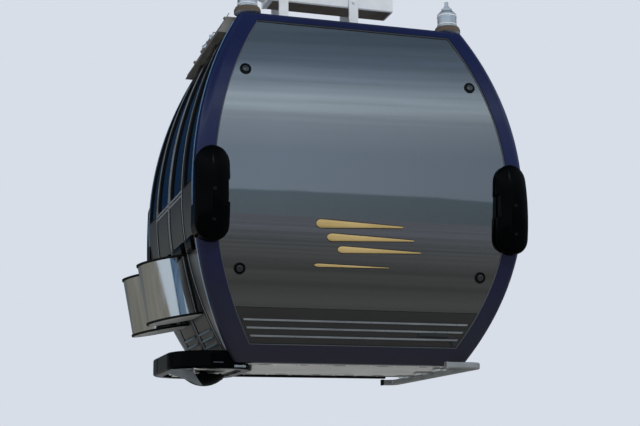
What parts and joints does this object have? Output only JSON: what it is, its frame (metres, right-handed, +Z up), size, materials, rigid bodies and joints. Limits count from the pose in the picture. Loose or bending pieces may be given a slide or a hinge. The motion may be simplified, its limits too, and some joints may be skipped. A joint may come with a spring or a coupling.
{
  "type": "cable car cabin",
  "caption": "Enclosed cable car cabin with plug doors, ski racks and facing benches, on a swan-necked hanger that swings from a detachable rope grip.",
  "frame": {"origin": "middle of the rope, in the middle of the grip's jaws; the cabin hangs below it", "axes": "+Y along the rope, towards the rear end pane; +Z up; the doors are on the -X side"},
  "size_m": [2.3506, 1.7277, 5.034],
  "materials": {
    "blue_paint": "glossy navy paint",
    "tinted_glass": "grey tinted acrylic pane",
    "black_plastic": "glossy black moulding",
    "grey_panel": "satin grey paint",
    "aluminium": "anodised aluminium",
    "polished_steel": "polished stainless sheet",
    "galvanised_steel": "galvanised and painted pale grey",
    "rubber": "black sealing rubber",
    "floor_rubber": "dark studded floor covering",
    "underbody": "light grey underside panel",
    "bench_leather": "dark artificial leather",
    "grip_casting": "galvanised casting",
    "roller_plastic": "black plastic roller"
  },
  "bodies": {
    "grip": {"grip_body": "grip_casting", "rope_tongues": "polished_steel"},
    "jaw": {"movable_jaw": "grip_casting"},
    "lever_roller": {"lever_roller": "roller_plastic"},
    "runner_front": {"running_roller_front": "roller_plastic"},
    "runner_rear": {"running_roller_rear": "roller_plastic"},
    "carrier": {"hanger_arm": "galvanised_steel", "suspension_beam": "galvanised_steel", "suspension_legs": "galvanised_steel", "roof_arms": "galvanised_steel", "spring_posts": "aluminium", "floor_pan": "floor_rubber", "underbody_panel": "underbody", "roof_panel": "blue_paint", "front_frame": "blue_paint", "rear_frame": "blue_paint", "front_pane": "tinted_glass", "rear_pane": "tinted_glass", "front_kick_panel": "black_plastic", "rear_kick_panel": "black_plastic", "front_kick_strips": "aluminium", "rear_kick_strips": "aluminium", "front_pane_buttons": "black_plastic", "rear_pane_buttons": "black_plastic", "front_buffers": "black_plastic", "rear_buffers": "black_plastic", "front_trim": "aluminium", "rear_trim": "aluminium", "front_corner_wall": "grey_panel", "rear_corner_wall": "grey_panel", "front_corner_window": "tinted_glass", "rear_corner_window": "tinted_glass", "fixed_side_wall": "grey_panel", "fixed_side_window": "tinted_glass", "door_leaf_front": "grey_panel", "door_leaf_rear": "grey_panel", "door_window_front": "tinted_glass", "door_window_rear": "tinted_glass", "door_seals": "rubber", "door_header": "aluminium", "ski_rack_front": "polished_steel", "ski_rack_rear": "polished_steel", "bumper_hoop": "black_plastic", "hoop_plate": "grey_panel", "door_lever": "black_plastic", "guide_rail": "galvanised_steel", "bench_frame_front": "aluminium", "bench_frame_rear": "aluminium", "bench_cushion_front": "bench_leather", "bench_cushion_rear": "bench_leather", "bench_back_pad_front": "bench_leather", "bench_back_pad_rear": "bench_leather"}
  },
  "joints": [
    {"name": "hanger_swing", "type": "hinge", "parent": "grip", "child": "carrier", "pos_m": [-0.214, 0, 0], "axis": [1, 0, 0], "range_deg": [-35, 35]},
    {"name": "jaw_open", "type": "hinge", "parent": "grip", "child": "jaw", "pos_m": [0.06, 0, 0.085], "axis": [0, -1, 0], "range_deg": [0, 18]},
    {"name": "lever_roller_spin", "type": "hinge", "parent": "jaw", "child": "lever_roller", "pos_m": [0.3, 0, 0.19], "axis": [1, 0, 0], "continuous": true},
    {"name": "runner_front_spin", "type": "hinge", "parent": "grip", "child": "runner_front", "pos_m": [-0.06, -0.09, 0.206], "axis": [1, 0, 0], "continuous": true},
    {"name": "runner_rear_spin", "type": "hinge", "parent": "grip", "child": "runner_rear", "pos_m": [-0.06, 0.09, 0.206], "axis": [1, 0, 0], "continuous": true}
  ]
}
